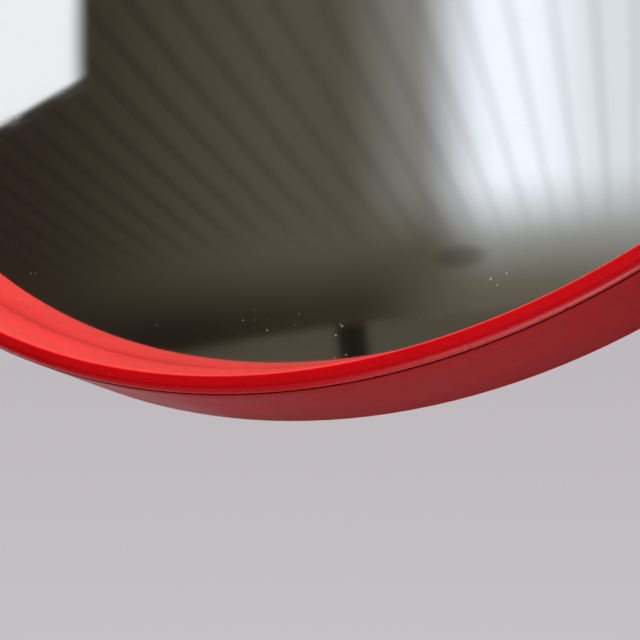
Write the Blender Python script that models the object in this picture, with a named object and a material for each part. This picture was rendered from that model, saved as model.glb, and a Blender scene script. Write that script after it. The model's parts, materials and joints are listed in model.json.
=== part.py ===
"""Wall-mounted convex traffic mirror with a deep red moulded rim.

The round head hangs flush against a wall. A hinge pin at its bottom edge holds it to a
steel wall plate, so its top edge tips forward. A flat stay on the plate carries a pin
that runs in two slotted cheeks on the head and clamps the chosen tilt.

Units are metres, +Z is up, and the mirror faces -Y. The origin lies on the wall, on the
back of the wall plate, behind the mirror's centre.
"""

import math

import bmesh
import bpy
from mathutils import Vector

MM = 0.001
GAP = 0.3 * MM

# Rim and housing. Depths are measured backwards from the front of the rim.
RIM_RADIUS = 300 * MM
BAND_WIDTH = 6.7 * MM
BAND_THICKNESS = 3.0 * MM
BAND_CORNER = 2.3 * MM
HEAD_DEPTH = 59.2 * MM
WALL_GAP = 4.0 * MM
REVEAL_RADIUS = 288 * MM
REVEAL_DEPTH = 28.3 * MM
RING_WALL = 3.0 * MM
SKIRT_PROUD = 0.5 * MM
SKIRT_BEVEL = 0.9 * MM
SKIRT_FLARE = 6.4 * MM
SKIRT_WALL = 2.5 * MM
SHEET = 2.0 * MM
BACK_EDGE = 1.0 * MM
SHELF_INNER = 280 * MM
SHELF_OUTER = 291 * MM
INNER_WALL_RADIUS = 284 * MM
RING_SEGMENTS = 64

# Mirror
MIRROR_CURVATURE = 1500 * MM
MIRROR_THICKNESS = 2.0 * MM
DOME_RADIUS = 288.6 * MM
MIRROR_RADIUS = 291.3 * MM
GASKET_INNER = 285.5 * MM
GASKET_THICKNESS = 0.6 * MM
PAN_CLEARANCE = 1.6 * MM
PAD_RADIUS = 12 * MM

# Screws that clamp the head, and the pillars in the rim that take them
SCREW_COUNT = 8
SCREW_CIRCLE = 294.5 * MM
SCREW_RADIUS = 1.5 * MM
SCREW_LENGTH = 14 * MM
SCREW_HEAD = 3.4 * MM
SCREW_HEAD_HEIGHT = 2.4 * MM
PILLAR_START = 12 * MM
PILLAR_INNER = 291.8 * MM
PILLAR_OUTER = 297.2 * MM
PILLAR_HALF_WIDTH = 6.0 * MM
PILOT_START = 42 * MM

# Rubber stops and drain plugs in the flange
PLUG_CIRCLE = 295 * MM
PLUG_STEM = 2.7 * MM
BUMPER_RADIUS = 8.0 * MM
BUMPER_HEIGHT = 3.4 * MM
BUMPER_ANGLE = math.radians(30)
DRAIN_RADIUS = 5.0 * MM
DRAIN_HEIGHT = 1.6 * MM
DRAIN_ANGLE = math.radians(15)

# Hinge, stay and slot. The hinge, the stay's pivot and the slot pin are equally far
# apart, so the stay always turns twice as far as the head.
PIN_RADIUS = 2.5 * MM
HINGE_DROP = 295 * MM
AXIS_TO_WALL = 11 * MM
STAY_LENGTH = 150 * MM
LARGEST_TILT = math.radians(12)
HINGE_AXIS = Vector((0, -AXIS_TO_WALL, -HINGE_DROP))
STAY_AXIS = HINGE_AXIS + Vector((0, 0, STAY_LENGTH))
SLOT_AXIS = STAY_AXIS + Vector((0, 0, STAY_LENGTH))
EAR_RADIUS = 3.9 * MM
EAR_INNER = 24 * MM
EAR_OUTER = 28 * MM
BOSS_RADIUS = 4.2 * MM
BOSS_INNER = 31 * MM
BOSS_OUTER = 41 * MM
NOTCH_HALF_WIDTH = 30 * MM
NOTCH_TOP = 5.0 * MM
NOTCH_BOTTOM = 6.9 * MM
LUG_RADIUS = 4.4 * MM
LUG_INNER = 4.5 * MM
LUG_OUTER = 7.0 * MM
STAY_HALF_WIDTH = 4.0 * MM
STAY_THICKNESS = 3.0 * MM

# Wall plate
PLATE_HALF_WIDTH = 30 * MM
PLATE_THICKNESS = 3.0 * MM
PLATE_TOP = 100 * MM
PLATE_BOTTOM = -299.3 * MM
PLATE_CORNER = 8 * MM
WALL_HOLE_RADIUS = 3.3 * MM
WALL_HOLE_OFFSET = 20 * MM
WALL_HOLE_HEIGHTS = (-230 * MM, 80 * MM)

# Slot bracket
BRACKET_HALF_WIDTH = 24 * MM
BRACKET_HALF_HEIGHT = 15.5 * MM
BRACKET_SHEET = 2.0 * MM
BRACKET_FRONT = 56.3 * MM
CHEEK_INNER = 7.0 * MM
CHEEK_REACH = 5.0 * MM
BRACKET_SCREW_RADIUS = 1.9 * MM
BRACKET_SCREW_LENGTH = 5.2 * MM
BRACKET_SCREW_HEAD = 3.6 * MM
BRACKET_SCREW_HEAD_HEIGHT = 2.0 * MM
BRACKET_SCREW_X = 17 * MM
BRACKET_SCREW_Z = 10 * MM

# Pin heads, clips, washers and the nut
PIN_HEAD_LENGTH = 2.3 * MM
CLIP_THICKNESS = 1.0 * MM
HINGE_HEAD_RADIUS = 3.6 * MM
HINGE_CLIP_RADIUS = 3.9 * MM
PIVOT_HEAD_RADIUS = 4.2 * MM
SLOT_HEAD_RADIUS = 4.6 * MM
SLOT_PIN_THREAD = 4.6 * MM
FRICTION_WASHER_RADIUS = 6.5 * MM
NUT_RADIUS = 4.9 * MM
NUT_LENGTH = 3.6 * MM

SMALL_SEGMENTS = 16
SCREW_SEGMENTS = 12

# Colour, roughness and metallic value of each material
MATERIALS = {
    "red_rim": ((0.55, 0.010, 0.012), 0.32, 0.0),
    "red_housing": ((0.50, 0.010, 0.012), 0.38, 0.0),
    "mirror": ((0.86, 0.88, 0.90), 0.04, 1.0),
    "black_rubber": ((0.02, 0.02, 0.02), 0.75, 0.0),
    "zinc_steel": ((0.55, 0.56, 0.58), 0.38, 1.0),
    "pin_steel": ((0.62, 0.62, 0.63), 0.25, 1.0),
    "screw_steel": ((0.60, 0.60, 0.58), 0.30, 1.0),
}


def at_depth(depth):
    """World Y of a depth measured backwards from the front of the rim."""
    return depth - HEAD_DEPTH - WALL_GAP


def dome_rise(radius):
    """How far back the mirror's sphere lies at a radius, from its foremost point."""
    return MIRROR_CURVATURE - math.sqrt(MIRROR_CURVATURE ** 2 - radius ** 2)


def arc(centre, radius, start, end, steps):
    """Points on an arc, with angles in degrees from the first axis."""
    points = []
    for step in range(steps + 1):
        angle = math.radians(start + (end - start) * step / steps)
        points.append((centre[0] + radius * math.cos(angle), centre[1] + radius * math.sin(angle)))
    return points


def clear_scene():
    for item in list(bpy.data.objects):
        bpy.data.objects.remove(item, do_unlink=True)


def new_object(name, shape):
    """Make an object from a bmesh, with its faces pointing out."""
    bmesh.ops.recalc_face_normals(shape, faces=shape.faces)
    mesh = bpy.data.meshes.new(name)
    shape.to_mesh(mesh)
    shape.free()
    item = bpy.data.objects.new(name, mesh)
    bpy.context.collection.objects.link(item)
    return item


def turned(name, outline, segments):
    """Turn an outline of (radius, y) points about the Y axis.

    An outline that starts and ends on the axis makes a solid disc or pin. Any other
    outline is closed on itself and makes a ring.
    """
    shape = bmesh.new()
    rings = []
    for radius, y in outline:
        count = segments if radius > 0 else 1
        ring = []
        for step in range(count):
            angle = math.tau * step / segments
            ring.append(shape.verts.new((radius * math.cos(angle), y, radius * math.sin(angle))))
        rings.append(ring)
    pairs = list(zip(rings, rings[1:]))
    if outline[0][0] > 0:
        pairs.append((rings[-1], rings[0]))
    for first, second in pairs:
        for step in range(segments):
            after = (step + 1) % segments
            corners = [
                first[step % len(first)],
                first[after % len(first)],
                second[after % len(second)],
                second[step % len(second)],
            ]
            shape.faces.new(list(dict.fromkeys(corners)))
    return new_object(name, shape)


def prism(name, outline, axis, low, high):
    """Extrude an outline along X (points are y, z), Y (points are x, z) or Z (points are x, y)."""
    shape = bmesh.new()
    caps = []
    for level in (low, high):
        corners = []
        for first, second in outline:
            position = {
                "X": (level, first, second),
                "Y": (first, level, second),
                "Z": (first, second, level),
            }[axis]
            corners.append(shape.verts.new(position))
        caps.append(corners)
    shape.faces.new(caps[0])
    shape.faces.new(caps[1])
    for index, corner in enumerate(caps[0]):
        after = (index + 1) % len(outline)
        shape.faces.new((corner, caps[0][after], caps[1][after], caps[1][index]))
    return new_object(name, shape)


def rectangle(first_low, first_high, second_low, second_high):
    return [
        (first_low, second_low),
        (first_high, second_low),
        (first_high, second_high),
        (first_low, second_high),
    ]


def eye_outline(axis, radius, back):
    """Side view of a boss, ear or lug: straight from its base, round about its pin."""
    outline = [(back, axis.z + radius)]
    outline += arc((axis.y, axis.z), radius, 90, 270, 8)
    outline += [(back, axis.z - radius)]
    return outline


def rod(axis, centre, radius, low, high, segments=SMALL_SEGMENTS):
    """A cutter for a round hole along one axis; centre is its place across the axis."""
    outline = arc(centre, radius, 0, 360, segments)[:-1]
    return prism("rod", outline, axis, low, high)


def combine(target, tools, operation):
    """Join the tools to the target, or cut them from it, and keep the result as its mesh."""
    for tool in tools:
        modifier = target.modifiers.new("combine", "BOOLEAN")
        modifier.operation = operation
        modifier.solver = "EXACT"
        modifier.object = tool
    graph = bpy.context.evaluated_depsgraph_get()
    mesh = bpy.data.meshes.new_from_object(target.evaluated_get(graph))
    target.modifiers.clear()
    target.data = mesh
    for tool in tools:
        bpy.data.objects.remove(tool, do_unlink=True)


def make_material(name):
    colour, roughness, metallic = MATERIALS[name]
    material = bpy.data.materials.new(name)
    material.use_nodes = True
    shader = material.node_tree.nodes["Principled BSDF"]
    shader.inputs["Base Color"].default_value = (*colour, 1.0)
    shader.inputs["Roughness"].default_value = roughness
    shader.inputs["Metallic"].default_value = metallic
    return material


def finish(item, material):
    """Give a piece its name, its material and smooth round faces with crisp corners."""
    mesh = item.data
    mesh.name = item.name
    mesh.materials.clear()
    mesh.materials.append(material)
    mesh.polygons.foreach_set("material_index", [0] * len(mesh.polygons))
    mesh.shade_smooth()
    mesh.set_sharp_from_angle(angle=math.radians(32))
    return item


def screw_angles():
    return [math.tau * (index + 0.5) / SCREW_COUNT for index in range(SCREW_COUNT)]


def on_circle(radius, angle, y):
    return Vector((radius * math.cos(angle), y, radius * math.sin(angle)))


def plug_places(angle_from_vertical, top):
    """Right and left places on the plug circle, above or below the centre."""
    height = PLUG_CIRCLE * math.cos(angle_from_vertical) * (1 if top else -1)
    side = PLUG_CIRCLE * math.sin(angle_from_vertical)
    return {"right": (side, height), "left": (-side, height)}


def bracket_screw_places():
    places = []
    for x in (-BRACKET_SCREW_X, BRACKET_SCREW_X):
        for z in (-BRACKET_SCREW_Z, BRACKET_SCREW_Z):
            places.append((x, SLOT_AXIS.z + z))
    return places


# The head

def make_front_ring(material):
    """Front band, rounded outer corner and conical reveal, with pillars for the screws."""
    band_inner = RIM_RADIUS - BAND_WIDTH
    slope = (band_inner - REVEAL_RADIUS) / REVEAL_DEPTH
    edge = 0.8 * MM
    root = 1.2 * MM
    outline = [(REVEAL_RADIUS, REVEAL_DEPTH), (band_inner - slope * edge, edge)]
    outline += [(band_inner + 0.1 * edge, 0.25 * edge), (band_inner + 0.8 * edge, 0)]
    corner_centre = (RIM_RADIUS - BAND_CORNER, BAND_CORNER)
    outline += arc(corner_centre, BAND_CORNER, -90, 0, 4)
    outline += [(RIM_RADIUS, BAND_THICKNESS)]
    leg_top = band_inner - slope * BAND_THICKNESS + RING_WALL
    outline += [(leg_top + root, BAND_THICKNESS), (leg_top - slope * root, BAND_THICKNESS + root)]
    outline += [(REVEAL_RADIUS + RING_WALL, REVEAL_DEPTH)]
    ring = turned("front_ring", [(radius, at_depth(depth)) for radius, depth in outline], RING_SEGMENTS)

    pillar_end = HEAD_DEPTH - SHEET - GAP
    pillars = []
    pilots = []
    for angle in screw_angles():
        across = rectangle(PILLAR_INNER, PILLAR_OUTER, -PILLAR_HALF_WIDTH, PILLAR_HALF_WIDTH)
        pillar = prism("pillar", across, "Y", at_depth(PILLAR_START), at_depth(pillar_end))
        pillar.rotation_euler = (0, -angle, 0)
        pillars.append(pillar)
        centre = on_circle(SCREW_CIRCLE, angle, 0)
        pilots.append(rod("Y", (centre.x, centre.z), SCREW_RADIUS + GAP, at_depth(PILOT_START), 0))
    combine(ring, pillars, "UNION")
    combine(ring, pilots, "DIFFERENCE")
    return finish(ring, material)


def pan_front(radius):
    """Depth of the pan's front face, which follows the back of the mirror."""
    apex = REVEAL_DEPTH + GAP - dome_rise(DOME_RADIUS)
    return apex + MIRROR_THICKNESS + PAN_CLEARANCE + dome_rise(radius)


def housing_outline():
    """Half section of the housing as (radius, depth): dish, shelf, inner wall, flange and skirt."""
    flange_front = HEAD_DEPTH - SHEET
    shelf_front = REVEAL_DEPTH + MIRROR_THICKNESS + GASKET_THICKNESS + 3 * GAP
    skirt_radius = RIM_RADIUS + SKIRT_PROUD
    skirt_start = BAND_THICKNESS + GAP
    back_radius = skirt_radius + SKIRT_FLARE
    dish_radii = [0, 60 * MM, 120 * MM, 180 * MM, 230 * MM, 268 * MM]
    outline = [(radius, pan_front(radius)) for radius in dish_radii]
    outline += [(SHELF_INNER, shelf_front), (SHELF_OUTER, shelf_front), (SHELF_OUTER, shelf_front + SHEET)]
    outline += [(INNER_WALL_RADIUS + SHEET, shelf_front + SHEET)]
    outline += [(INNER_WALL_RADIUS + SHEET, flange_front), (back_radius - SKIRT_WALL, flange_front)]
    outline += [(skirt_radius - SKIRT_WALL, skirt_start), (skirt_radius - SKIRT_BEVEL, skirt_start)]
    outline += [(skirt_radius, skirt_start + SKIRT_BEVEL)]
    outline += [(back_radius, HEAD_DEPTH - BACK_EDGE)]
    outline += [(back_radius - 0.3 * BACK_EDGE, HEAD_DEPTH - 0.3 * BACK_EDGE)]
    outline += [(back_radius - BACK_EDGE, HEAD_DEPTH), (INNER_WALL_RADIUS, HEAD_DEPTH)]
    outline += [(INNER_WALL_RADIUS, shelf_front + SHEET)]
    outline += [(SHELF_INNER - SHEET / 4, shelf_front + SHEET)]
    outline += [(radius, pan_front(radius) + SHEET) for radius in reversed(dish_radii)]
    return outline


def make_rear_housing(material):
    """Flared skirt, flange and dished pan, with bosses for the hinge pin."""
    outline = [(radius, at_depth(depth)) for radius, depth in housing_outline()]
    housing = turned("rear_housing", outline, RING_SEGMENTS)

    boss = eye_outline(HINGE_AXIS, BOSS_RADIUS, at_depth(HEAD_DEPTH - SHEET / 2))
    bosses = [
        prism("boss", boss, "X", BOSS_INNER, BOSS_OUTER),
        prism("boss", boss, "X", -BOSS_OUTER, -BOSS_INNER),
    ]
    combine(housing, bosses, "UNION")

    notch_shape = rectangle(
        -NOTCH_HALF_WIDTH, NOTCH_HALF_WIDTH, HINGE_AXIS.z - NOTCH_BOTTOM, HINGE_AXIS.z + NOTCH_TOP
    )
    front, back = at_depth(HEAD_DEPTH - 2 * SHEET), at_depth(HEAD_DEPTH + SHEET)
    cutters = [prism("notch", notch_shape, "Y", front, back)]
    pin_reach = BOSS_OUTER + 4 * MM
    pin_place = (HINGE_AXIS.y, HINGE_AXIS.z)
    cutters.append(rod("X", pin_place, PIN_RADIUS + GAP, -pin_reach, pin_reach))
    for angle in screw_angles():
        centre = on_circle(SCREW_CIRCLE, angle, 0)
        cutters.append(rod("Y", (centre.x, centre.z), SCREW_RADIUS + GAP, front, back))
    for places in (plug_places(BUMPER_ANGLE, True), plug_places(DRAIN_ANGLE, False)):
        for place in places.values():
            cutters.append(rod("Y", place, PLUG_STEM + GAP, front, back))
    for place in bracket_screw_places():
        pan_hole = BRACKET_SCREW_RADIUS + GAP
        cutters.append(rod("Y", place, pan_hole, at_depth(pan_front(0)) - SHEET, back))
    combine(housing, cutters, "DIFFERENCE")
    return finish(housing, material)


def make_mirror_lens(material):
    """Convex mirror with a flat clamping flange around its dome."""
    flange_front = REVEAL_DEPTH + GAP
    apex = flange_front - dome_rise(DOME_RADIUS)
    radii = [0, 60 * MM, 120 * MM, 180 * MM, 240 * MM, DOME_RADIUS]
    front = [(radius, apex + dome_rise(radius)) for radius in radii] + [(MIRROR_RADIUS, flange_front)]
    back = [(radius, depth + MIRROR_THICKNESS) for radius, depth in reversed(front)]
    outline = [(radius, at_depth(depth)) for radius, depth in front + back]
    return finish(turned("mirror_lens", outline, RING_SEGMENTS), material)


def make_lens_gasket(material):
    """Thin rubber ring between the mirror's flange and the housing."""
    front = at_depth(REVEAL_DEPTH + MIRROR_THICKNESS + 2 * GAP)
    outline = rectangle(GASKET_INNER, SHELF_OUTER, front, front + GASKET_THICKNESS)
    return finish(turned("lens_gasket", outline, RING_SEGMENTS), material)


def make_centre_pad(material):
    """Foam pad that keeps the middle of the mirror from drumming on the pan."""
    back = at_depth(pan_front(0)) - GAP
    front = at_depth(pan_front(0)) - PAN_CLEARANCE + 1.2 * GAP
    outline = [(0, front), (PAD_RADIUS, front), (PAD_RADIUS, back), (0, back)]
    return finish(turned("centre_pad", outline, SMALL_SEGMENTS), material)


def screw_mesh(name, radius, length, head_radius, head_height, material):
    """A pan-head screw along Y: its head sits behind the origin, its shaft in front."""
    tip = 0.6 * radius
    shoulder = 0.3 * head_height
    outline = [(0, -length), (radius - tip / 2, -length), (radius, -length + tip), (radius, 0)]
    outline += [(head_radius, 0), (head_radius, head_height - 2 * shoulder)]
    outline += [(head_radius - shoulder, head_height), (0, head_height)]
    screw = turned(name, outline, SCREW_SEGMENTS)
    socket_depth = 0.6 * head_height
    socket = rod("Y", (0, 0), 0.5 * head_radius, head_height - socket_depth, 2 * head_height, 6)
    combine(screw, [socket], "DIFFERENCE")
    finish(screw, material)
    mesh = screw.data
    bpy.data.objects.remove(screw, do_unlink=True)
    return mesh


def place_copies(name, mesh, locations):
    """Objects called name_1, name_2 and so on that share one mesh."""
    copies = []
    for number, location in enumerate(locations, start=1):
        item = bpy.data.objects.new(f"{name}_{number}", mesh)
        item.location = location
        bpy.context.collection.objects.link(item)
        copies.append(item)
    return copies


def make_housing_screws(material):
    mesh = screw_mesh(
        "housing_screw", SCREW_RADIUS, SCREW_LENGTH, SCREW_HEAD, SCREW_HEAD_HEIGHT, material
    )
    seat = at_depth(HEAD_DEPTH) + GAP
    places = [on_circle(SCREW_CIRCLE, angle, seat) for angle in screw_angles()]
    return place_copies("housing_screw", mesh, places)


def make_bracket_screws(material):
    mesh = screw_mesh(
        "bracket_screw",
        BRACKET_SCREW_RADIUS,
        BRACKET_SCREW_LENGTH,
        BRACKET_SCREW_HEAD,
        BRACKET_SCREW_HEAD_HEIGHT,
        material,
    )
    seat = -BRACKET_FRONT + BRACKET_SHEET + GAP
    places = [Vector((x, seat, z)) for x, z in bracket_screw_places()]
    return place_copies("bracket_screw", mesh, places)


def make_plug(name, place, head_radius, head_height, material):
    """Rubber button behind the flange, held by a stem through it."""
    stem_length = 3.5 * MM
    bevel = 0.7 * MM
    outline = [(0, -stem_length), (PLUG_STEM - bevel, -stem_length), (PLUG_STEM, -stem_length + bevel)]
    outline += [(PLUG_STEM, 0), (head_radius, 0), (head_radius, head_height - bevel)]
    outline += [(head_radius - bevel, head_height), (0, head_height)]
    plug = turned(name, outline, SMALL_SEGMENTS)
    plug.location = (place[0], at_depth(HEAD_DEPTH) + GAP, place[1])
    return finish(plug, material)


def make_plugs(material):
    plugs = []
    for side, place in plug_places(BUMPER_ANGLE, True).items():
        plugs.append(make_plug(f"wall_bumper_{side}", place, BUMPER_RADIUS, BUMPER_HEIGHT, material))
    for side, place in plug_places(DRAIN_ANGLE, False).items():
        plugs.append(make_plug(f"drain_plug_{side}", place, DRAIN_RADIUS, DRAIN_HEIGHT, material))
    return plugs


def make_slot_bracket(material):
    """Folded steel bracket on the pan: a foot with two cheeks, slotted for the stay's pin."""
    back = -BRACKET_FRONT + BRACKET_SHEET
    cheek_outer = CHEEK_INNER + BRACKET_SHEET
    right = [(BRACKET_HALF_WIDTH, -BRACKET_FRONT), (BRACKET_HALF_WIDTH, back), (cheek_outer, back)]
    right += [(cheek_outer, -CHEEK_REACH), (CHEEK_INNER, -CHEEK_REACH), (CHEEK_INNER, back)]
    left = [(-x, y) for x, y in reversed(right)]
    low, high = SLOT_AXIS.z - BRACKET_HALF_HEIGHT, SLOT_AXIS.z + BRACKET_HALF_HEIGHT
    bracket = prism("slot_bracket", right + left, "Z", low, high)

    reach = STAY_LENGTH * 2
    travel = reach * (1 - math.cos(LARGEST_TILT))
    slack = GAP
    slot_radius = PIN_RADIUS + GAP
    slot = arc((SLOT_AXIS.y, SLOT_AXIS.z + slack), slot_radius, 0, 180, 8)
    slot += arc((SLOT_AXIS.y, SLOT_AXIS.z - travel - slack), slot_radius, 180, 360, 8)
    cutters = [prism("slot", slot, "X", -2 * cheek_outer, 2 * cheek_outer)]
    for place in bracket_screw_places():
        hole_radius = BRACKET_SCREW_RADIUS + GAP
        cutters.append(rod("Y", place, hole_radius, -BRACKET_FRONT - MM, back + MM))
    combine(bracket, cutters, "DIFFERENCE")
    return finish(bracket, material)


# Pins, rings and washers, all along X

def along_x(item, axis):
    """Turn a piece made along Y so that it lies along X on a pivot axis."""
    item.rotation_euler = (0, 0, -math.pi / 2)
    item.location = axis
    return item


def make_pin(name, axis, head_radius, reach, tail, material):
    """Headed pin along X. Its head starts at -reach, and its tail ends that far past reach."""
    chamfer = 0.5 * MM
    head_end, head_start, tip = -reach, -reach - PIN_HEAD_LENGTH, reach + tail
    outline = [(0, head_start), (head_radius - chamfer, head_start), (head_radius, head_start + chamfer)]
    outline += [(head_radius, head_end), (PIN_RADIUS, head_end), (PIN_RADIUS, tip - chamfer)]
    outline += [(PIN_RADIUS - chamfer, tip), (0, tip)]
    return finish(along_x(turned(name, outline, SMALL_SEGMENTS), axis), material)


def make_washer(name, axis, radius, start, end, material):
    """Plain ring on a pin, from start to end along X."""
    outline = rectangle(PIN_RADIUS + GAP, radius, start, end)
    return finish(along_x(turned(name, outline, SMALL_SEGMENTS), axis), material)


def make_washer_pair(name, axis, radius, start, end, material):
    """One ring on each side of the middle."""
    return [
        make_washer(f"{name}_right", axis, radius, start, end, material),
        make_washer(f"{name}_left", axis, radius, -end, -start, material),
    ]


def make_clipped_pin(names, axis, head_radius, clip_radius, reach, material):
    """A pin with its head at -reach and a clip on its tail, just past reach."""
    pin = make_pin(names[0], axis, head_radius, reach, PIN_HEAD_LENGTH, material)
    clip = make_washer(names[1], axis, clip_radius, reach, reach + CLIP_THICKNESS, material)
    return [pin, clip]


def make_hinge(material):
    names = ("hinge_pin", "hinge_clip")
    reach = BOSS_OUTER + GAP
    return make_clipped_pin(names, HINGE_AXIS, HINGE_HEAD_RADIUS, HINGE_CLIP_RADIUS, reach, material)


# The wall plate and its pivot

def make_wall_plate(material):
    """Steel strip with hinge ears at its foot and lugs for the stay."""
    x, corner = PLATE_HALF_WIDTH, PLATE_CORNER
    top, bottom, foot_corner = PLATE_TOP, PLATE_BOTTOM, 2 * MM
    outline = arc((x - corner, top - corner), corner, 0, 90, 6)
    outline += arc((-x + corner, top - corner), corner, 90, 180, 6)
    outline += arc((-x + foot_corner, bottom + foot_corner), foot_corner, 180, 270, 3)
    outline += arc((x - foot_corner, bottom + foot_corner), foot_corner, 270, 360, 3)
    plate = prism("wall_plate", outline, "Y", -PLATE_THICKNESS, 0)

    back = -PLATE_THICKNESS / 2
    eyes = []
    for low, high in ((EAR_INNER, EAR_OUTER), (-EAR_OUTER, -EAR_INNER)):
        eyes.append(prism("ear", eye_outline(HINGE_AXIS, EAR_RADIUS, back), "X", low, high))
    for low, high in ((LUG_INNER, LUG_OUTER), (-LUG_OUTER, -LUG_INNER)):
        eyes.append(prism("lug", eye_outline(STAY_AXIS, LUG_RADIUS, back), "X", low, high))
    combine(plate, eyes, "UNION")

    pin_hole = PIN_RADIUS + GAP
    cutters = [
        rod("X", (HINGE_AXIS.y, HINGE_AXIS.z), pin_hole, -x, x),
        rod("X", (STAY_AXIS.y, STAY_AXIS.z), pin_hole, -x, x),
    ]
    for side in (-WALL_HOLE_OFFSET, WALL_HOLE_OFFSET):
        for height in WALL_HOLE_HEIGHTS:
            cutters.append(rod("Y", (side, height), WALL_HOLE_RADIUS, -2 * PLATE_THICKNESS, MM))
    combine(plate, cutters, "DIFFERENCE")
    return finish(plate, material)


def make_stay_pivot(material):
    names = ("stay_pivot_pin", "stay_pivot_clip")
    reach = LUG_OUTER + GAP
    return make_clipped_pin(names, STAY_AXIS, PIVOT_HEAD_RADIUS, PIVOT_HEAD_RADIUS, reach, material)


def make_pivot_washers(material):
    inner = STAY_THICKNESS / 2 + GAP
    outer = LUG_INNER - GAP
    return make_washer_pair("pivot_washer", STAY_AXIS, PIVOT_HEAD_RADIUS, inner, outer, material)


# The stay

def make_stay_arm(material):
    """Flat bar with round ends, from the plate's lugs to the slots."""
    outline = arc((SLOT_AXIS.y, SLOT_AXIS.z), STAY_HALF_WIDTH, 0, 180, 8)
    outline += arc((STAY_AXIS.y, STAY_AXIS.z), STAY_HALF_WIDTH, 180, 360, 8)
    half = STAY_THICKNESS / 2
    arm = prism("stay_arm", outline, "X", -half, half)
    holes = []
    for axis in (STAY_AXIS, SLOT_AXIS):
        holes.append(rod("X", (axis.y, axis.z), PIN_RADIUS + GAP, -2 * half, 2 * half))
    combine(arm, holes, "DIFFERENCE")
    return finish(arm, material)


def make_slot_pin(material):
    reach = CHEEK_INNER + BRACKET_SHEET + CLIP_THICKNESS + 2 * GAP
    return make_pin("slot_pin", SLOT_AXIS, SLOT_HEAD_RADIUS, reach, SLOT_PIN_THREAD, material)


def make_lock_nut(material):
    """Hexagonal nut that clamps the cheeks between the friction washers."""
    start = CHEEK_INNER + BRACKET_SHEET + CLIP_THICKNESS + 2 * GAP
    end = start + NUT_LENGTH
    centre = (SLOT_AXIS.y, SLOT_AXIS.z)
    nut = prism("lock_nut", arc(centre, NUT_RADIUS, 0, 360, 6)[:-1], "X", start, end)
    bore = rod("X", centre, PIN_RADIUS + GAP, start - MM, end + MM)
    combine(nut, [bore], "DIFFERENCE")
    return finish(nut, material)


def make_slot_washers(friction_material, spacer_material):
    start = CHEEK_INNER + BRACKET_SHEET + GAP
    end = start + CLIP_THICKNESS
    radius = FRICTION_WASHER_RADIUS
    washers = make_washer_pair("friction_washer", SLOT_AXIS, radius, start, end, friction_material)
    start = STAY_THICKNESS / 2 + GAP
    end = CHEEK_INNER - GAP
    radius = PIVOT_HEAD_RADIUS
    spacers = make_washer_pair("arm_spacer", SLOT_AXIS, radius, start, end, spacer_material)
    return washers + spacers


def make_pivot(name, axis):
    """Empty on a joint's axis that carries the pieces that turn about it."""
    pivot = bpy.data.objects.new(name, None)
    pivot.location = axis
    bpy.context.collection.objects.link(pivot)
    return pivot


def attach(items, pivot):
    """Parent pieces to a pivot without moving them."""
    for item in items:
        item.parent = pivot
        item.location = item.location - pivot.location


def build():
    clear_scene()
    materials = {name: make_material(name) for name in MATERIALS}
    rubber, pin_steel = materials["black_rubber"], materials["pin_steel"]
    zinc, screw_steel = materials["zinc_steel"], materials["screw_steel"]

    head = [
        make_front_ring(materials["red_rim"]),
        make_rear_housing(materials["red_housing"]),
        make_mirror_lens(materials["mirror"]),
        make_lens_gasket(rubber),
        make_centre_pad(rubber),
        make_slot_bracket(zinc),
    ]
    head += make_housing_screws(screw_steel)
    head += make_bracket_screws(screw_steel)
    head += make_plugs(rubber)
    head += make_hinge(pin_steel)
    attach(head, make_pivot("tilt_axis", HINGE_AXIS))

    make_wall_plate(zinc)
    make_stay_pivot(pin_steel)
    make_pivot_washers(zinc)

    stay = [make_stay_arm(zinc), make_slot_pin(pin_steel), make_lock_nut(screw_steel)]
    stay += make_slot_washers(rubber, zinc)
    attach(stay, make_pivot("stay_axis", STAY_AXIS))


build()
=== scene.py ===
"""Looks of the wall-mounted convex traffic mirror.

The rim, the housing and the mirror get fine meshes that stand for their CAD nodes. The
steel, rubber and screws keep their CAD shapes and get detailed materials.
"""

import json
import math

import bmesh
import bpy
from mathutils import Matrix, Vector


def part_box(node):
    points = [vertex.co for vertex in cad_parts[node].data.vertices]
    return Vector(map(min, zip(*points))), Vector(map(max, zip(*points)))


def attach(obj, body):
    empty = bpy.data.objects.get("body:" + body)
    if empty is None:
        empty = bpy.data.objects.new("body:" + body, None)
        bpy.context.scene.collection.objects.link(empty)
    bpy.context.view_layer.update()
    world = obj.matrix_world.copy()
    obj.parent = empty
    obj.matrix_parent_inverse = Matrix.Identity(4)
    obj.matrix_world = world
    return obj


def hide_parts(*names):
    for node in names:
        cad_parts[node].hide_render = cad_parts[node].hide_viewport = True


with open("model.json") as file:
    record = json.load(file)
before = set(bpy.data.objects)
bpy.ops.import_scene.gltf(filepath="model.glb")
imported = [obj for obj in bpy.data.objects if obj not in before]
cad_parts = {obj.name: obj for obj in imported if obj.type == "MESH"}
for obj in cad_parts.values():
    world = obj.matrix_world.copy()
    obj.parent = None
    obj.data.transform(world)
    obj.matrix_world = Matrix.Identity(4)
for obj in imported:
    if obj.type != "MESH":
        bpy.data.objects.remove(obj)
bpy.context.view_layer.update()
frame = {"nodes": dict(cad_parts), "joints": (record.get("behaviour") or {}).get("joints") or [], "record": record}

MM = 0.001

# Sizes read from the frame
ring_low, ring_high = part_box("front_ring")
housing_low, housing_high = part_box("rear_housing")
lens_low, lens_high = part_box("mirror_lens")
RIM_RADIUS = ring_high[0]
FRONT_Y = ring_low[1]
BACK_RADIUS = housing_high[0]
BACK_Y = housing_high[1]
SKIRT_Y = housing_low[1]
LENS_RADIUS = lens_high[0]
LENS_APEX_Y = lens_low[1]

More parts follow.
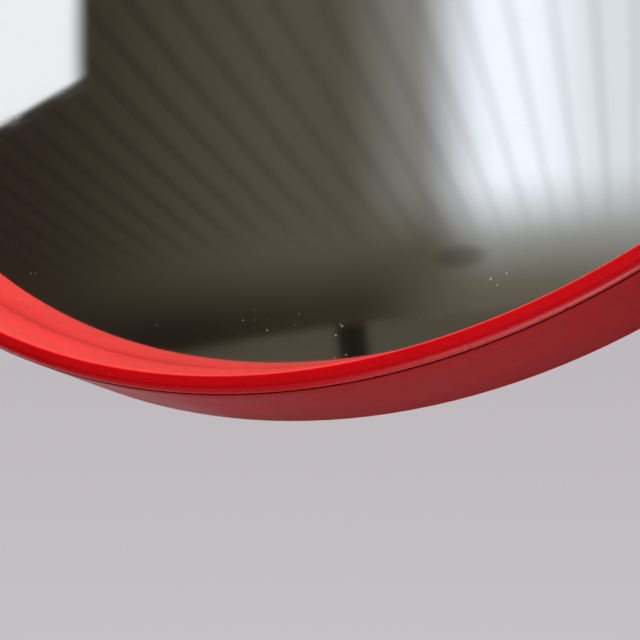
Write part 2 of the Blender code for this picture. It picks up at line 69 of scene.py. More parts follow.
# Profile of the mouldings, as on the CAD part
BAND_WIDTH = 6.7 * MM
BAND_THICKNESS = 3.0 * MM
BAND_CORNER = 2.9 * MM
INNER_EDGE = 0.8 * MM
REVEAL_RADIUS = 288 * MM
REVEAL_DEPTH = 28.3 * MM
RING_WALL = 3.0 * MM
FOOT_REACH = 0.2 * MM
FOOT_EDGE = 0.08 * MM
SKIRT_PROUD = 0.5 * MM
SKIRT_BEVEL = 0.5 * MM
SKIRT_WALL = 2.5 * MM
SHEET = 2.0 * MM
BACK_EDGE = 1.0 * MM
SHELF_INNER = 280 * MM
SHELF_OUTER = 291 * MM
SHELF_DEPTH = 31.8 * MM
INNER_WALL_RADIUS = 284 * MM
DISH_RADIUS = 268 * MM
MIRROR_CURVATURE = 1500 * MM
MIRROR_THICKNESS = 2.0 * MM
DOME_RADIUS = 288.6 * MM
PAN_CLEARANCE = 1.6 * MM
RING_STEPS = 432

# Holes, bosses and hinge notch in the housing
EYE_RADIUS = 4.2 * MM
EYE_INNER = 31 * MM
EYE_OUTER = 41 * MM
NOTCH_HALF_WIDTH = 30 * MM
NOTCH_BELOW = 6.9 * MM
NOTCH_ABOVE = 5 * MM
HINGE_HOLE = 2.8 * MM
HINGE_HOLE_REACH = 45 * MM
SCREW_HOLE = 1.8 * MM
PLUG_HOLE = 3.0 * MM
BRACKET_HOLE = 2.2 * MM

# Moulding marks along the rim's outer corner
MARK_COUNT = 54
MARK_OFFSET = math.radians(2.9)
MARK_PITCH = math.tau / MARK_COUNT
DENT_DEPTH = 0.22 * MM
FLASH_HEIGHT = 0.07 * MM

# Camera and floor
CAMERA_PLACE = (0.1754, -0.4026, -0.3341)
CAMERA_RISE = 9.09
CAMERA_TURN = 23.19
FIELD_OF_VIEW = 34
FLOOR_HEIGHT = -0.80
FLOOR_RADIUS = 1.0

# Ribbed canopy that the mirror shows: axes across the ribs and away from the sheet
ACROSS_RIBS = (0.9823, -0.0518, 0.1801)
OFF_SHEET = (-0.1813, -0.5056, 0.8435)
RIB_PITCH = 0.0823
RIB_SHIFT = 0.957


def dome_rise(radius):
    return MIRROR_CURVATURE - math.sqrt(MIRROR_CURVATURE ** 2 - radius ** 2)


def arc(centre, radius, start, end, steps):
    """Points on an arc, with angles in degrees from the first axis."""
    points = []
    for step in range(steps + 1):
        angle = math.radians(start + (end - start) * step / steps)
        points.append((centre[0] + radius * math.cos(angle), centre[1] + radius * math.sin(angle)))
    return points


def along(start, end, steps):
    """Evenly spaced points between two outline points, without the first one."""
    points = []
    for step in range(1, steps + 1):
        part = step / steps
        points.append((start[0] + (end[0] - start[0]) * part, start[1] + (end[1] - start[1]) * part))
    return points


def turned_mesh(name, outline, angles, shift=None):
    """Turn an outline of (radius, depth) about the Y axis through the given angles.

    shift(radius, depth, angle) may move a point; it returns a new radius and depth.
    """
    shape = bmesh.new()
    rings = []
    for radius, depth in outline:
        ring = []
        for angle in angles if radius > 0 else [0.0]:
            place = shift(radius, depth, angle) if shift else (radius, depth)
            ring.append(
                shape.verts.new(
                    (place[0] * math.cos(angle), FRONT_Y + place[1], place[0] * math.sin(angle))
                )
            )
        rings.append(ring)
    pairs = list(zip(rings, rings[1:]))
    if outline[0][0] > 0:
        pairs.append((rings[-1], rings[0]))
    count = len(angles)
    for first, second in pairs:
        for step in range(count):
            after = (step + 1) % count
            corners = [
                first[step % len(first)],
                first[after % len(first)],
                second[after % len(second)],
                second[step % len(second)],
            ]
            shape.faces.new(list(dict.fromkeys(corners)))
    return mesh_object(name, shape)


def mesh_object(name, shape):
    bmesh.ops.recalc_face_normals(shape, faces=shape.faces)
    mesh = bpy.data.meshes.new(name)
    shape.to_mesh(mesh)
    shape.free()
    mesh.shade_smooth()
    mesh.set_sharp_from_angle(angle=math.radians(35))
    piece = bpy.data.objects.new(name, mesh)
    bpy.context.scene.collection.objects.link(piece)
    return piece


def prism(outline, axis, low, high):
    """A cutter or boss extruded along X (points are y, z) or Y (points are x, z)."""
    shape = bmesh.new()
    caps = []
    for level in (low, high):
        corners = []
        for first, second in outline:
            place = (level, first, second) if axis == "X" else (first, level, second)
            corners.append(shape.verts.new(place))
        caps.append(corners)
    shape.faces.new(caps[0])
    shape.faces.new(caps[1])
    for index in range(len(outline)):
        after = (index + 1) % len(outline)
        shape.faces.new((caps[0][index], caps[0][after], caps[1][after], caps[1][index]))
    return mesh_object("tool", shape)


def combine(piece, tools, operation):
    """Join or cut by exact Booleans, keep the result as the piece's mesh and drop the tools."""
    for tool in tools:
        modifier = piece.modifiers.new("combine", "BOOLEAN")
        modifier.operation = operation
        modifier.solver = "EXACT"
        modifier.object = tool
    graph = bpy.context.evaluated_depsgraph_get()
    mesh = bpy.data.meshes.new_from_object(piece.evaluated_get(graph))
    piece.modifiers.clear()
    piece.data = mesh
    for tool in tools:
        bpy.data.objects.remove(tool, do_unlink=True)
    mesh.shade_smooth()
    mesh.set_sharp_from_angle(angle=math.radians(35))


def even_angles(count):
    return [math.tau * step / count for step in range(count)]


def mark_angles():
    """Angles of the moulding marks, from +X towards +Z."""
    bottom = -math.pi / 2
    return [bottom + MARK_OFFSET + math.tau * index / MARK_COUNT for index in range(MARK_COUNT)]


# Materials

class Paint:
    """One material's node tree, with short calls for the nodes that the materials use."""

    def __init__(self, name, roughness=0.5, metallic=0.0, **values):
        self.material = bpy.data.materials.new(name)
        self.material.use_nodes = True
        self.tree = self.material.node_tree
        self.shader = self.tree.nodes["Principled BSDF"]
        self.shader.inputs["Roughness"].default_value = roughness
        self.shader.inputs["Metallic"].default_value = metallic
        for socket, value in values.items():
            self.shader.inputs[socket.replace("_", " ")].default_value = value
        coordinates = self.tree.nodes.new("ShaderNodeTexCoord")
        self.place = coordinates.outputs["Object"]

    def feed(self, socket, value):
        if isinstance(value, bpy.types.NodeSocket):
            self.tree.links.new(value, socket)
        elif value is not None:
            socket.default_value = value

    def math(self, operation, first, second=None, clamp=False):
        node = self.tree.nodes.new("ShaderNodeMath")
        node.operation = operation
        node.use_clamp = clamp
        self.feed(node.inputs[0], first)
        self.feed(node.inputs[1], second)
        return node.outputs[0]

    def vector(self, x, y, z):
        node = self.tree.nodes.new("ShaderNodeCombineXYZ")
        for socket, value in zip(node.inputs, (x, y, z)):
            self.feed(socket, value)
        return node.outputs[0]

    def split(self, vector):
        node = self.tree.nodes.new("ShaderNodeSeparateXYZ")
        self.feed(node.inputs[0], vector)
        return node.outputs[0], node.outputs[1], node.outputs[2]

    def noise(self, vector, scale, detail=2.0, roughness=0.5):
        node = self.tree.nodes.new("ShaderNodeTexNoise")
        self.feed(node.inputs["Vector"], vector)
        node.inputs["Scale"].default_value = scale
        node.inputs["Detail"].default_value = detail
        node.inputs["Roughness"].default_value = roughness
        return node.outputs["Fac"]

    def cells(self, vector, scale, randomness=1.0):
        """Distance to the nearest scattered point, in cell sizes."""
        node = self.tree.nodes.new("ShaderNodeTexVoronoi")
        self.feed(node.inputs["Vector"], vector)
        node.inputs["Scale"].default_value = scale
        node.inputs["Randomness"].default_value = randomness
        return node.outputs["Distance"]

    def remap(self, value, low, high, out_low=0.0, out_high=1.0):
        """Map low..high to out_low..out_high, smoothly and without passing the ends."""
        node = self.tree.nodes.new("ShaderNodeMapRange")
        node.interpolation_type = "SMOOTHSTEP"
        self.feed(node.inputs[0], value)
        for socket, number in zip(node.inputs[1:5], (low, high, out_low, out_high)):
            socket.default_value = number
        return node.outputs[0]

    def mix(self, factor, first, second):
        node = self.tree.nodes.new("ShaderNodeMix")
        node.data_type = "RGBA"
        self.feed(node.inputs[0], factor)
        for socket, value in ((node.inputs[6], first), (node.inputs[7], second)):
            self.feed(socket, (*value, 1.0) if isinstance(value, tuple) else value)
        return node.outputs[2]

    def bump(self, height, strength, distance, below=None):
        node = self.tree.nodes.new("ShaderNodeBump")
        node.inputs["Strength"].default_value = strength
        node.inputs["Distance"].default_value = distance
        self.feed(node.inputs["Height"], height)
        if below is not None:
            self.feed(node.inputs["Normal"], below)
        return node.outputs[0]

    def round_place(self):
        """Place across the mirror, distance from its axis, and depth behind the rim's front."""
        x, y, z = self.split(self.place)
        squares = self.math("ADD", self.math("MULTIPLY", x, x), self.math("MULTIPLY", z, z))
        radius = self.math("SQRT", squares)
        depth = self.math("SUBTRACT", y, FRONT_Y)
        return x, z, radius, depth

    def streaks(self, scale, length):
        """Noise drawn out round the axis: fine across, long along the rim."""
        x, z, radius, depth = self.round_place()
        across_x = self.math("MULTIPLY", self.math("DIVIDE", x, radius), length)
        across_z = self.math("MULTIPLY", self.math("DIVIDE", z, radius), length)
        spread = self.math("ADD", depth, self.math("MULTIPLY", radius, 1.7))
        return self.noise(self.vector(across_x, spread, across_z), scale, 3.0, 0.6)

    def finish(self, colour=None, roughness=None, normal=None):
        self.feed(self.shader.inputs["Base Color"], colour)
        self.feed(self.shader.inputs["Roughness"], roughness)
        if normal is not None:
            self.feed(self.shader.inputs["Normal"], normal)
        return self.material


def rim_shade_gloss_and_dust(paint, tone, dust, scatter, gloss_level, dust_from):
    """Painted shade on the reveal behind the band, a corner rubbed glossy at the right, and dust in the reveal."""
    x, z, radius, depth = paint.round_place()
    upward = paint.split(paint.tree.nodes.new("ShaderNodeNewGeometry").outputs["Normal"])[2]
    dust = paint.math("MAXIMUM", dust, paint.remap(upward, 0.30, 0.90, 0.0, 0.20))
    # Painted shade: the reveal is darkened just behind the band, and less towards the mirror.
    past_band = paint.remap(depth, 0.9 * MM, 2.0 * MM)
    reveal_shade = paint.remap(depth, 4 * MM, 24 * MM, 0.56, 0.10)
    tone = paint.mix(paint.math("MULTIPLY", past_band, reveal_shade), tone, (0.34, 0.003, 0.004))

    corner = paint.remap(radius, RIM_RADIUS - 1.4 * MM, RIM_RADIUS - 0.2 * MM)
    rubbed = paint.math("MULTIPLY", corner, paint.remap(x, 0.0, 0.05))
    low_level = paint.remap(z, -0.15, -0.22, gloss_level, gloss_level + 0.26)
    rubbed = paint.math("MULTIPLY", rubbed, low_level)
    level = paint.math("MAXIMUM", rubbed, gloss_level)
    paint.feed(paint.shader.inputs["Specular IOR Level"], level)

    settled = paint.remap(depth, dust_from, dust_from + 6 * MM)
    film = paint.math("MULTIPLY", settled, paint.remap(scatter, 0.35, 0.75, 0.04, 0.30))
    return tone, paint.math("MAXIMUM", dust, film)


def skirt_shade_and_parting(paint, tone, mottle, gloss_level, wall_shade_from):
    """Painted shade darkening the skirt towards the wall, and a dark, dull parting line behind the band."""
    depth = paint.round_place()[3]
    # Painted shade: the skirt darkens towards its back edge, where the wall shades it; the mottle breaks it up.
    wall_shade_mask = paint.remap(depth, wall_shade_from, wall_shade_from + 26 * MM)
    wall_shade_mask = paint.math("MULTIPLY", wall_shade_mask, paint.remap(mottle, 0.25, 0.75, 0.14, 0.40))
    tone = paint.mix(wall_shade_mask, tone, (0.10, 0.006, 0.006))
    skirt_start = SKIRT_Y - FRONT_Y
    parting = paint.remap(depth, skirt_start + 0.7 * MM, skirt_start + 0.3 * MM)
    tone = paint.mix(parting, tone, (0.11, 0.003, 0.005))
    level = paint.math("MULTIPLY", paint.math("SUBTRACT", 1.0, parting), gloss_level)
    paint.feed(paint.shader.inputs["Specular IOR Level"], level)
    return tone


def red_plastic(name, tones, gloss_level, roughness, dust_from=None, wall_shade_from=None):
    """Moulded red plastic: flow streaks, faint mottling, fine orange peel and dust, with painted shade on the
    rim's reveal and on the skirt.

    dust_from is the depth where dust settles in the reveal, and the last argument the depth from which painted
    shade darkens the skirt towards the wall.
    """
    colour, deep, pale = tones
    paint = Paint(name, Specular_IOR_Level=gloss_level)
    streak = paint.streaks(420.0, 0.012)
    mottle = paint.noise(paint.place, 26.0, 4.0, 0.6)
    peel = paint.noise(paint.place, 900.0, 2.0, 0.5)
    grain = paint.noise(paint.place, 2600.0, 1.0, 0.5)
    tone = paint.mix(paint.remap(mottle, 0.30, 0.72), deep, colour)
    tone = paint.mix(paint.remap(streak, 0.50, 0.78, 0.0, 0.45), tone, pale)
    specks = paint.cells(paint.place, 210.0)
    scatter = paint.noise(paint.place, 60.0, 2.0, 0.5)
    dust = paint.math(
        "MULTIPLY", paint.remap(specks, 0.10, 0.04), paint.remap(scatter, 0.56, 0.66), clamp=True
    )
    if dust_from is not None:
        tone, dust = rim_shade_gloss_and_dust(paint, tone, dust, scatter, gloss_level, dust_from)
    if wall_shade_from is not None:
        tone = skirt_shade_and_parting(paint, tone, mottle, gloss_level, wall_shade_from)
    tone = paint.mix(paint.math("MULTIPLY", dust, 0.5), tone, (0.42, 0.29, 0.235))
    gloss = paint.remap(mottle, 0.25, 0.75, roughness - 0.05, roughness + 0.07)
    gloss = paint.math("ADD", gloss, paint.math("MULTIPLY", dust, 0.3), clamp=True)
    normal = paint.bump(peel, 0.16, 0.0004)
    normal = paint.bump(grain, 0.06, 0.0002, normal)
    normal = paint.bump(streak, 0.08, 0.0003, normal)
    return paint.finish(tone, gloss, normal)


def mirror_silver():
    """Silvered acrylic with a little settled dust, wiping marks and specks near its edge."""
    paint = Paint("mirror_silver", roughness=0.03, metallic=1.0)
    x, z, radius, depth = paint.round_place()
    edge = paint.remap(radius, 0.262, 0.284)
    low = paint.remap(z, 0.05, -0.27, 0.25, 1.0)
    specks = paint.cells(paint.place, 240.0)
    scatter = paint.noise(paint.place, 34.0, 3.0, 0.55)
    speck = paint.math("MULTIPLY", paint.remap(specks, 0.13, 0.05), paint.remap(scatter, 0.50, 0.62))
    speck = paint.math("MULTIPLY", speck, paint.math("MULTIPLY", edge, low), clamp=True)
    wisp = paint.noise(paint.vector(x, depth, paint.math("MULTIPLY", z, 3.0)), 22.0, 5.0, 0.65)
    film = paint.remap(wisp, 0.55, 0.85, 0.0, 0.10)
    film = paint.math("ADD", film, paint.math("MULTIPLY", edge, 0.05))
    dust = paint.math("MAXIMUM", paint.math("MULTIPLY", speck, 0.85), film)
    tone = paint.mix(dust, (0.93, 0.945, 0.95), (0.55, 0.54, 0.52))
    gloss = paint.math("ADD", paint.math("MULTIPLY", dust, 0.5), 0.035)
    paint.feed(paint.shader.inputs["Metallic"], paint.math("SUBTRACT", 1.0, speck, clamp=True))
    waves = paint.noise(paint.place, 7.0, 1.0, 0.5)
    return paint.finish(tone, gloss, paint.bump(waves, 0.02, 0.002))


def zinc_steel(name, colour, roughness):
    """Zinc-coated steel: crystalline mottling, fine brushing and a few dull patches."""
    paint = Paint(name, metallic=1.0)
    x, y, z = paint.split(paint.place)
    brushed = paint.vector(paint.math("MULTIPLY", x, 14.0), paint.math("MULTIPLY", y, 14.0), z)
    brushing = paint.noise(brushed, 130.0, 3.0, 0.6)
    spangle = paint.cells(paint.place, 190.0)
    dull = paint.noise(paint.place, 40.0, 4.0, 0.6)
    dark = tuple(channel * 0.62 for channel in colour)
    tone = paint.mix(paint.remap(spangle, 0.15, 0.75, 0.0, 0.45), colour, dark)
    tone = paint.mix(paint.remap(dull, 0.55, 0.75, 0.0, 0.4), tone, (0.46, 0.45, 0.43))
    gloss = paint.remap(brushing, 0.3, 0.7, roughness - 0.08, roughness + 0.12)
    return paint.finish(tone, gloss, paint.bump(brushing, 0.12, 0.0002))


def black_rubber():
    """Matte rubber with a fine grain and a dusty bloom."""
    paint = Paint("black_rubber", Specular_IOR_Level=0.35)
    bloom = paint.noise(paint.place, 90.0, 4.0, 0.6)
    grain = paint.noise(paint.place, 2200.0, 2.0, 0.5)
    tone = paint.mix(paint.remap(bloom, 0.45, 0.75), (0.018, 0.018, 0.019), (0.060, 0.057, 0.054))
    gloss = paint.remap(bloom, 0.3, 0.7, 0.62, 0.85)
    return paint.finish(tone, gloss, paint.bump(grain, 0.25, 0.0002))


# The visible mouldings and the mirror

def make_rim(material):
    """Front band, rounded corner, lip and reveal in one fine moulding."""
    band_inner = RIM_RADIUS - BAND_WIDTH
    slope = (band_inner - REVEAL_RADIUS) / REVEAL_DEPTH
    root = 1.2 * MM
    foot = REVEAL_DEPTH + FOOT_REACH
    outline = [(REVEAL_RADIUS + FOOT_EDGE, foot), (REVEAL_RADIUS + slope * FOOT_EDGE, foot - FOOT_EDGE)]
    outline += along(outline[-1], (band_inner - slope * INNER_EDGE, INNER_EDGE), 10)
    outline += arc((band_inner + INNER_EDGE * 0.98, INNER_EDGE), INNER_EDGE, 191, 270, 6)[1:]
    outline += along(outline[-1], (RIM_RADIUS - BAND_CORNER, 0), 3)
    outline += arc((RIM_RADIUS - BAND_CORNER, BAND_CORNER), BAND_CORNER, -90, 0, 10)[1:]
    outline += [(RIM_RADIUS - 0.1 * MM, BAND_THICKNESS)]
    leg_top = band_inner - slope * BAND_THICKNESS + RING_WALL
    outline += [(leg_top + root, BAND_THICKNESS), (leg_top - slope * root, BAND_THICKNESS + root)]
    outline += along(outline[-1], (REVEAL_RADIUS + RING_WALL, foot), 5)

    marks = mark_angles()
    spreads = [math.radians(value) for value in (-0.34, -0.2, -0.1, 0.0, 0.1, 0.2, 0.34)]
    angles = set()
    for mark in marks:
        angles.update(mark + spread for spread in spreads)
        angles.update(mark + MARK_PITCH * eighth / 8 for eighth in range(1, 8))
    angles = sorted(angles)

    def nicked(radius, depth, angle):
        """Pull the outer corner in at each mark, and stand the flash beside it a hair proud."""
        turn = (angle - marks[0]) / MARK_PITCH
        offset = (turn - round(turn)) * 360 / MARK_COUNT
        corner = max(0.0, 1 - abs(math.hypot(radius - RIM_RADIUS, depth - BAND_CORNER)) / BAND_CORNER)
        dent = math.exp(-(offset / 0.09) ** 2) * DENT_DEPTH
        flash = math.exp(-((abs(offset) - 0.2) / 0.07) ** 2) * FLASH_HEIGHT
        return radius - corner * (dent - flash), depth + corner * (dent - flash) * 0.6

    rim = turned_mesh("rim_moulding", outline, angles, nicked)
    rim.data.materials.append(material)
    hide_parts("front_ring")
    return rim


def pan_front(radius):
    apex = LENS_APEX_Y - FRONT_Y
    return apex + MIRROR_THICKNESS + PAN_CLEARANCE + dome_rise(radius)


def housing_outline():
    """Half section of the housing: dish, shelf, inner wall, flange and flared skirt."""
    depth = BACK_Y - FRONT_Y
    flange_front = depth - SHEET
    skirt_radius = RIM_RADIUS + SKIRT_PROUD
    skirt_start = SKIRT_Y - FRONT_Y
    shelf_back = SHELF_DEPTH + SHEET
    bevel = 0.25 * MM
    fillet = 1.2 * MM
    dish_radii = [DISH_RADIUS * step / 16 for step in range(17)]
    outline = [(radius, pan_front(radius)) for radius in dish_radii]
    outline += [(SHELF_INNER, SHELF_DEPTH), (SHELF_OUTER - bevel, SHELF_DEPTH)]
    outline += [(SHELF_OUTER, SHELF_DEPTH + bevel), (SHELF_OUTER, shelf_back)]
    outline += [(INNER_WALL_RADIUS + SHEET, shelf_back), (INNER_WALL_RADIUS + SHEET, flange_front)]
    outline += [(BACK_RADIUS - SKIRT_WALL - fillet, flange_front)]
    outline += [(BACK_RADIUS - SKIRT_WALL, flange_front - fillet)]
    outline += along(outline[-1], (skirt_radius - SKIRT_WALL, skirt_start), 4)
    outline += [(skirt_radius - SKIRT_BEVEL, skirt_start)]
    outline += [(skirt_radius - bevel / 4, skirt_start + SKIRT_BEVEL - bevel / 4)]
    outline += [(skirt_radius + bevel / 8, skirt_start + SKIRT_BEVEL + bevel / 4)]
    outline += along(outline[-1], (BACK_RADIUS, depth - BACK_EDGE), 8)
    outline += arc((BACK_RADIUS - BACK_EDGE, depth - BACK_EDGE), BACK_EDGE, 0, 90, 5)[1:]
    corner = INNER_WALL_RADIUS + fillet
    outline += arc((corner, depth - fillet), fillet, 90, 180, 5)
    outline += [(INNER_WALL_RADIUS, shelf_back + fillet / 2), (INNER_WALL_RADIUS - fillet / 2, shelf_back)]
    outline += [(SHELF_INNER - SHEET / 4, shelf_back)]
    outline += [(radius, pan_front(radius) + SHEET) for radius in reversed(dish_radii)]
    return outline


def make_housing(material):
    """The housing with its screw and plug holes, hinge notch and pin bosses."""
    housing = turned_mesh("housing_moulding", housing_outline(), even_angles(RING_STEPS // 2))

    hinge = frame_axis("tilt")
    eye_base = BACK_Y - SHEET / 2
    eye = [(eye_base, hinge.z + EYE_RADIUS)] + arc((hinge.y, hinge.z), EYE_RADIUS, 90, 270, 20)
    eye += [(eye_base, hinge.z - EYE_RADIUS)]
    bosses = [prism(eye, "X", EYE_INNER, EYE_OUTER), prism(eye, "X", -EYE_OUTER, -EYE_INNER)]
    combine(housing, bosses, "UNION")

    low, high = BACK_Y - 2 * SHEET, BACK_Y + SHEET
    bottom, top = hinge.z - NOTCH_BELOW, hinge.z + NOTCH_ABOVE
    notch = [(-NOTCH_HALF_WIDTH, bottom), (NOTCH_HALF_WIDTH, bottom)]
    notch += [(NOTCH_HALF_WIDTH, top), (-NOTCH_HALF_WIDTH, top)]
    cutters = [prism(notch, "Y", low, high)]
    hinge_place = (hinge.y, hinge.z)
    cutters.append(round_hole("X", hinge_place, HINGE_HOLE, -HINGE_HOLE_REACH, HINGE_HOLE_REACH))
    for number in range(1, 9):
        cutters.append(round_hole("Y", middle(f"housing_screw_{number}"), SCREW_HOLE, low, high))
    for name in ("wall_bumper_left", "wall_bumper_right", "drain_plug_left", "drain_plug_right"):
        cutters.append(round_hole("Y", middle(name), PLUG_HOLE, low, high))
    for number in range(1, 5):
        place = middle(f"bracket_screw_{number}")
        cutters.append(round_hole("Y", place, BRACKET_HOLE, FRONT_Y + pan_front(0) - SHEET, high))
    combine(housing, cutters, "DIFFERENCE")
    housing.data.materials.clear()
    housing.data.materials.append(material)
    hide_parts("rear_housing")
    return housing


def frame_axis(joint_name):
    for joint in frame["joints"]:
        if joint["name"] == joint_name:
            return Vector(joint["pos_m"])
    return None


def middle(node):
    """Where a node's middle lies across the Y axis, as x and z."""
    low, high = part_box(node)
    return ((low[0] + high[0]) / 2, (low[2] + high[2]) / 2)


def round_hole(axis, centre, radius, low, high):
    return prism(arc(centre, radius, 0, 360, 32)[:-1], axis, low, high)


def make_mirror(material):
    """Fine dome with a flat flange and a polished edge."""
    apex = LENS_APEX_Y - FRONT_Y
    flange = apex + dome_rise(DOME_RADIUS)
    bevel = 0.3 * MM
    radii = [DOME_RADIUS * step / 24 for step in range(24)] + [DOME_RADIUS - bevel, DOME_RADIUS]
    front = [(radius, apex + dome_rise(radius)) for radius in radii]
    back = [(radius, value + MIRROR_THICKNESS) for radius, value in reversed(front)]
    outline = front + [(LENS_RADIUS - bevel, flange), (LENS_RADIUS, flange + bevel)]
    outline += [(LENS_RADIUS, flange + MIRROR_THICKNESS - bevel)]
    outline += [(LENS_RADIUS - bevel, flange + MIRROR_THICKNESS)] + back
    lens = turned_mesh("mirror_dome", outline, even_angles(288))
    lens.data.materials.append(material)
    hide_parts("mirror_lens")
    return lens


def repaint(names, material):
    for name in names:
        mesh = frame["nodes"][name].data
        mesh.materials.clear()
        mesh.materials.append(material)


# Studio

def make_world():
    """Pale room for the camera, soft light for diffuse surfaces, and a ribbed canopy to mirror."""
    world = bpy.data.worlds.new("studio")
    bpy.context.scene.world = world
    world.use_nodes = True
    tree = world.node_tree
    tree.nodes.clear()

    def node(kind, **settings):
        item = tree.nodes.new(kind)
        for key, value in settings.items():
            setattr(item, key, value)
        return item

    def value_math(operation, first, second, clamp=False):
        item = node("ShaderNodeMath", operation=operation, use_clamp=clamp)
        for socket, value in zip(item.inputs, (first, second)):
            if isinstance(value, bpy.types.NodeSocket):
                tree.links.new(value, socket)
            else:
                socket.default_value = value
        return item.outputs[0]

    def remap(value, low, high, out_low=0.0, out_high=1.0):
        item = node("ShaderNodeMapRange", interpolation_type="SMOOTHSTEP")
        tree.links.new(value, item.inputs[0])
        for socket, number in zip(item.inputs[1:5], (low, high, out_low, out_high)):
            socket.default_value = number
        return item.outputs[0]

    def mix(factor, first, second):
        item = node("ShaderNodeMix", data_type="RGBA")
        if isinstance(factor, bpy.types.NodeSocket):
            tree.links.new(factor, item.inputs[0])
        else:
            item.inputs[0].default_value = factor
        for socket, value in ((item.inputs[6], first), (item.inputs[7], second)):
            if isinstance(value, tuple):
                socket.default_value = (*value, 1.0)
            else:
                tree.links.new(value, socket)
        return item.outputs[2]

    direction = node("ShaderNodeTexCoord").outputs["Generated"]
    split = node("ShaderNodeSeparateXYZ")
    tree.links.new(direction, split.inputs[0])
    x, y, z = split.outputs

    def along_axis(axis):
        total = value_math("MULTIPLY", x, axis[0])
        for part, weight in ((y, axis[1]), (z, axis[2])):
            total = value_math("ADD", total, value_math("MULTIPLY", part, weight))
        return total

    # Canopy: a ribbed sheet that slopes down away from the wall, seen along its own slope.
    lift = value_math("MAXIMUM", along_axis(OFF_SHEET), 0.05)
    rib_place = value_math("ADD", value_math("DIVIDE", along_axis(ACROSS_RIBS), lift), RIB_SHIFT)
    rib_place = value_math("DIVIDE", rib_place, RIB_PITCH)
    rib = value_math("COSINE", value_math("MULTIPLY", rib_place, math.tau), 0.0)
    azimuth = value_math("ARCTAN2", x, value_math("MULTIPLY", y, -1.0))

    dark = mix(remap(azimuth, -0.87, -0.30), (0.030, 0.021, 0.014), (0.102, 0.087, 0.060))
    warm = mix(remap(azimuth, -0.33, -0.20), dark, (0.235, 0.225, 0.205))
    sheet = mix(remap(azimuth, -0.215, -0.095), warm, (1.02, 1.06, 1.14))
    sheet = mix(remap(azimuth, -0.05, 0.06), sheet, (0.80, 0.83, 0.87))
    rib_depth = remap(azimuth, -0.75, -0.15, 0.27, 0.13)
    sheet = mix(value_math("MULTIPLY", remap(rib, -0.1, 1.0), rib_depth), sheet, (0.01, 0.01, 0.01))

    # Below the canopy's far edge: a dim building, then the paler yard in front of it.
    dim = mix(remap(azimuth, -0.21, -0.10), dark, (0.36, 0.365, 0.345))
    scene_tone = mix(remap(z, 0.010, -0.110), sheet, dim)
    low = mix(remap(azimuth, -0.65, -0.32), (0.017, 0.012, 0.008), (0.038, 0.029, 0.018))
    low = mix(remap(azimuth, -0.33, -0.12), low, (0.13, 0.11, 0.08))
    scene_tone = mix(remap(z, -0.060, -0.175), scene_tone, low)
    yard = mix(remap(azimuth, -0.7, -0.45), (0.050, 0.042, 0.030), (0.084, 0.072, 0.050))
    scene_tone = mix(remap(z, -0.182, -0.195), scene_tone, yard)

    # A lamp under the canopy, a dark post in the yard, and the sky past the canopy's corner.
    lamp_x = value_math("ADD", azimuth, 0.163)
    lamp_z = value_math("MULTIPLY", value_math("ADD", z, 0.112), 2.2)
    lamp_far = value_math("ADD", value_math("POWER", lamp_x, 2.0), value_math("POWER", lamp_z, 2.0))
    scene_tone = mix(remap(lamp_far, 0.0022, 0.0, 0.0, 0.5), scene_tone, (0.035, 0.030, 0.022))
    post_x = value_math("ABSOLUTE", value_math("ADD", azimuth, 0.335), 0.0)
    post = value_math("MULTIPLY", remap(post_x, 0.028, 0.018), remap(z, -0.180, -0.195))
    scene_tone = mix(post, scene_tone, (0.010, 0.008, 0.006))
    corner = value_math("ADD", z, value_math("MULTIPLY", azimuth, -0.33))
    corner = value_math("MULTIPLY", remap(corner, 0.437, 0.447), remap(azimuth, -0.70, -0.74))
    scene_tone = mix(corner, scene_tone, (0.95, 0.97, 0.97))
    scene_tone = mix(0.07, scene_tone, (0.0, 0.0, 0.0))
    scene_tone = mix(remap(z, -0.25, -0.6), scene_tone, (0.13, 0.11, 0.11))

    # Straight up the room is plain and bright; behind, it is bright only to the left.
    front = remap(y, -0.15, -0.45)
    overhead = remap(z, 0.60, 0.90)
    side = mix(remap(x, -0.75, -0.30), (0.95, 0.90, 0.95), (0.12, 0.10, 0.11))
    room = mix(front, side, scene_tone)
    reflected = mix(overhead, room, (0.62, 0.62, 0.66))

    path = node("ShaderNodeLightPath")
    plain = mix(remap(z, -0.5, 0.35), (0.61, 0.575, 0.60), (0.50, 0.465, 0.49))
    seen = mix(path.outputs["Is Glossy Ray"], plain, reflected)
    light = mix(path.outputs["Is Diffuse Ray"], seen, (0.17, 0.16, 0.17))
    background = node("ShaderNodeBackground")
    tree.links.new(light, background.inputs["Color"])
    output = node("ShaderNodeOutputWorld")
    tree.links.new(background.outputs[0], output.inputs["Surface"])


def make_floor():
    """Pale round floor well below the mirror."""
    shape = bmesh.new()
    bmesh.ops.create_circle(shape, cap_ends=True, segments=128, radius=FLOOR_RADIUS)
    mesh = bpy.data.meshes.new("floor")
    shape.to_mesh(mesh)
    shape.free()
    floor = bpy.data.objects.new("floor", mesh)
    floor.location = (0, 0, FLOOR_HEIGHT)
    bpy.context.scene.collection.objects.link(floor)
    paint = Paint("floor_paint", roughness=0.9)
    tone = paint.mix(paint.noise(paint.place, 3.0), (0.35, 0.33, 0.34), (0.38, 0.36, 0.37))
    mesh.materials.append(paint.finish(tone))


def make_light(name, place, target, size, power, colour):
    """Soft area light: a disc if size is one number, or a rectangle if it is two."""
    data = bpy.data.lights.new(name, "AREA")
    if isinstance(size, tuple):
        data.shape = "RECTANGLE"
        data.size, data.size_y = size
    else:
        data.shape = "DISK"
        data.size = size
    data.energy = power
    data.color = colour
    lamp = bpy.data.objects.new(name, data)
    lamp.location = place
    lamp.rotation_euler = (Vector(target) - Vector(place)).to_track_quat("-Z", "Y").to_euler()
    bpy.context.scene.collection.objects.link(lamp)
    return lamp


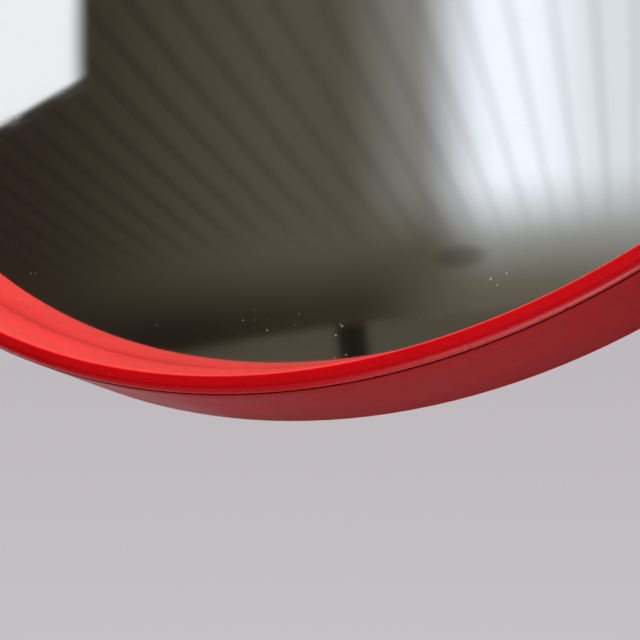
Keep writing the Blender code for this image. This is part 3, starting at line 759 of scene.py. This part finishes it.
def make_lights():
    """Key from above right, three weak fills, and a strip that shines on the rim's corner."""
    make_light("key", (0.85, -0.32, 1.45), (0, -0.03, -0.25), 0.8, 92, (1.0, 0.97, 0.93))
    make_light("side_fill", (0.95, -0.75, -0.35), (0.1, -0.06, -0.25), 0.25, 2.0, (0.95, 0.97, 1.0))
    low_fill = make_light(
        "low_fill", (0.30, -1.10, -0.60), (0.05, -0.06, -0.25), 0.35, 2.1, (1.0, 0.98, 0.98)
    )
    low_fill.visible_glossy = False
    make_light("back_fill", (-0.9, 1.6, 0.9), (0, 0, 0), 1.2, 14, (1.0, 0.99, 0.97))
    glint = make_light(
        "corner_glint", (0.22, -0.15, -0.74), (0.12, -0.06, -0.28), (0.55, 0.25), 1.9, (1.0, 0.92, 1.0)
    )
    glint.visible_diffuse = False


def make_camera():
    """Close below the rim, right of the middle, looking up and to the left."""
    data = bpy.data.cameras.new("camera")
    data.sensor_width = 36
    data.lens = data.sensor_width / 2 / math.tan(math.radians(FIELD_OF_VIEW / 2))
    data.clip_start = 0.01
    camera = bpy.data.objects.new("camera", data)
    camera.location = CAMERA_PLACE
    camera.rotation_euler = (math.radians(90 + CAMERA_RISE), 0, math.radians(CAMERA_TURN))
    bpy.context.scene.collection.objects.link(camera)
    bpy.context.scene.camera = camera


def build():
    rim_tones = ((0.59, 0.002, 0.006), (0.54, 0.002, 0.005), (0.63, 0.005, 0.009))
    # Painted shade: the housing is the rim's red plastic in darker tones, for the shade on the downward-facing
    # skirt.
    housing_tones_shaded = ((0.405, 0.003, 0.006), (0.355, 0.002, 0.005), (0.45, 0.006, 0.009))
    rim_red = red_plastic("rim_red", rim_tones, 0.14, 0.30, dust_from=20 * MM)
    housing_red_shaded = red_plastic("housing_red_shaded", housing_tones_shaded, 0.08, 0.42, wall_shade_from=30 * MM)
    rim = make_rim(rim_red)
    housing = make_housing(housing_red_shaded)
    lens = make_mirror(mirror_silver())
    for piece, slot in ((rim, "red_rim"), (housing, "red_housing"), (lens, "mirror")):
        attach(piece, "head")

    by_slot = {}
    for entry in frame["record"]["subparts"]:
        by_slot.setdefault(entry["material_slot"], []).append(entry["node"])
    repaint(by_slot["black_rubber"], black_rubber())
    repaint(by_slot["zinc_steel"], zinc_steel("zinc_steel", (0.60, 0.61, 0.63), 0.40))
    repaint(by_slot["pin_steel"], zinc_steel("pin_steel", (0.64, 0.64, 0.65), 0.28))
    repaint(by_slot["screw_steel"], zinc_steel("screw_steel", (0.63, 0.61, 0.55), 0.32))

    make_world()
    make_floor()
    make_lights()
    make_camera()


build()
bpy.context.scene.view_settings.view_transform = "Standard"
